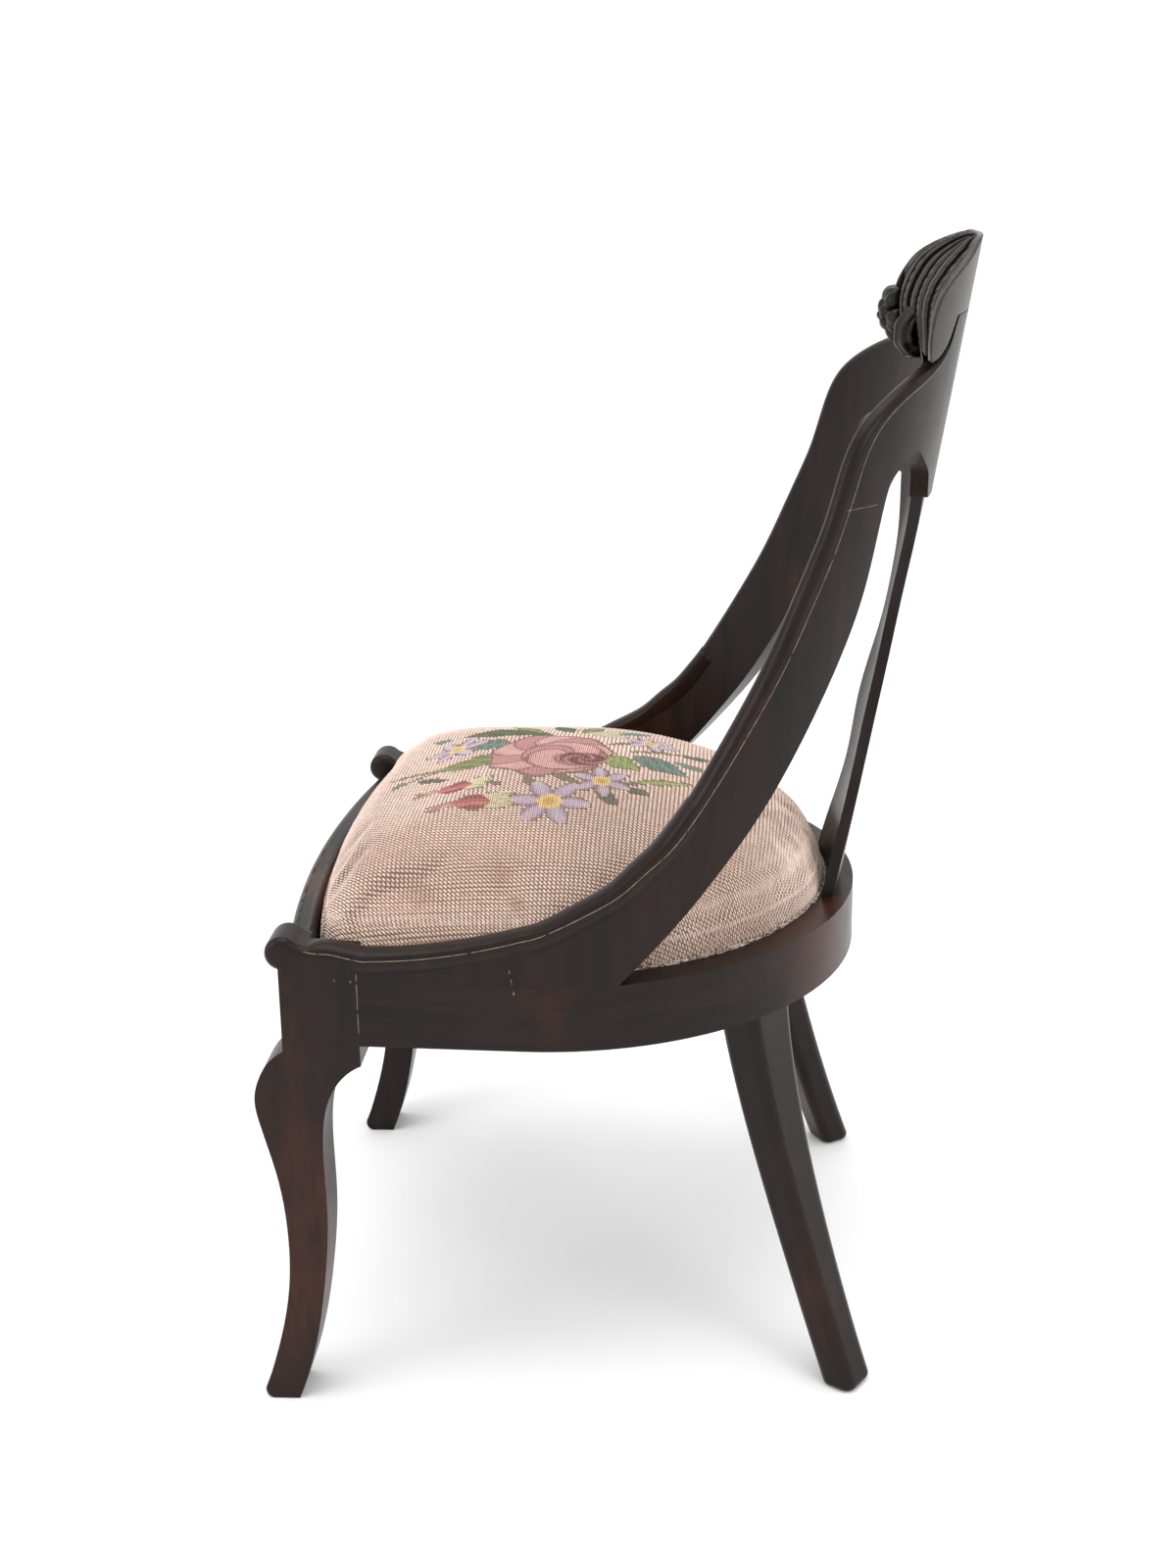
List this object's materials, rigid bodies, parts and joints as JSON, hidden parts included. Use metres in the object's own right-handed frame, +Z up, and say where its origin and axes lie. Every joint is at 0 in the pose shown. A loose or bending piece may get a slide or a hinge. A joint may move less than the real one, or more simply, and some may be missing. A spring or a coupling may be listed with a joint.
{
  "type": "side chair",
  "caption": "Mahogany side chair with a rounded gondola back, vase splat, carved crest, sabre legs and a crowned drop-in needlepoint seat.",
  "frame": {"origin": "on the floor, under the middle of the chair's bounding box", "axes": "+Z up, the chair faces -Y, +X is at the sitter's left"},
  "size_m": [0.484, 0.55, 0.881],
  "materials": {
    "mahogany": "dark polished",
    "secondary_wood": "sawn, unfinished",
    "dowel_wood": "plain",
    "needlepoint": "wool needlework",
    "stuffing": "hair and wadding",
    "webbing": "jute",
    "burlap": "jute",
    "dust_cloth": "black cambric",
    "screw_steel": "dull",
    "tack_iron": "blued"
  },
  "bodies": {
    "chair_frame": {"front_leg_left": "mahogany", "front_leg_right": "mahogany", "front_rail": "mahogany", "side_rail_left": "mahogany", "side_rail_right": "mahogany", "back_rail": "mahogany", "stile_left": "mahogany", "stile_right": "mahogany", "crest_rail": "mahogany", "crest_carving": "mahogany", "splat": "mahogany", "rear_leg_left": "mahogany", "rear_leg_right": "mahogany", "front_corner_block_left": "secondary_wood", "front_corner_block_right": "secondary_wood", "rear_corner_block_left": "secondary_wood", "rear_corner_block_right": "secondary_wood", "rear_leg_dowels": "dowel_wood", "rail_joint_dowels": "dowel_wood", "stile_dowels": "dowel_wood", "crest_joint_dowels": "dowel_wood", "carving_dowels": "dowel_wood", "corner_block_screws": "screw_steel"},
    "slip_seat": {"slip_frame_front": "secondary_wood", "slip_frame_back": "secondary_wood", "slip_frame_left": "secondary_wood", "slip_frame_right": "secondary_wood", "webbing_crosswise": "webbing", "webbing_lengthwise": "webbing", "burlap": "burlap", "seat_stuffing": "stuffing", "seat_cover": "needlepoint", "dust_cover": "dust_cloth", "dust_cover_tacks": "tack_iron"}
  },
  "joints": [
    {"name": "seat_lift", "type": "slide", "parent": "chair_frame", "child": "slip_seat", "axis": [0, 0, 1], "range_m": [0, 0.12]}
  ]
}
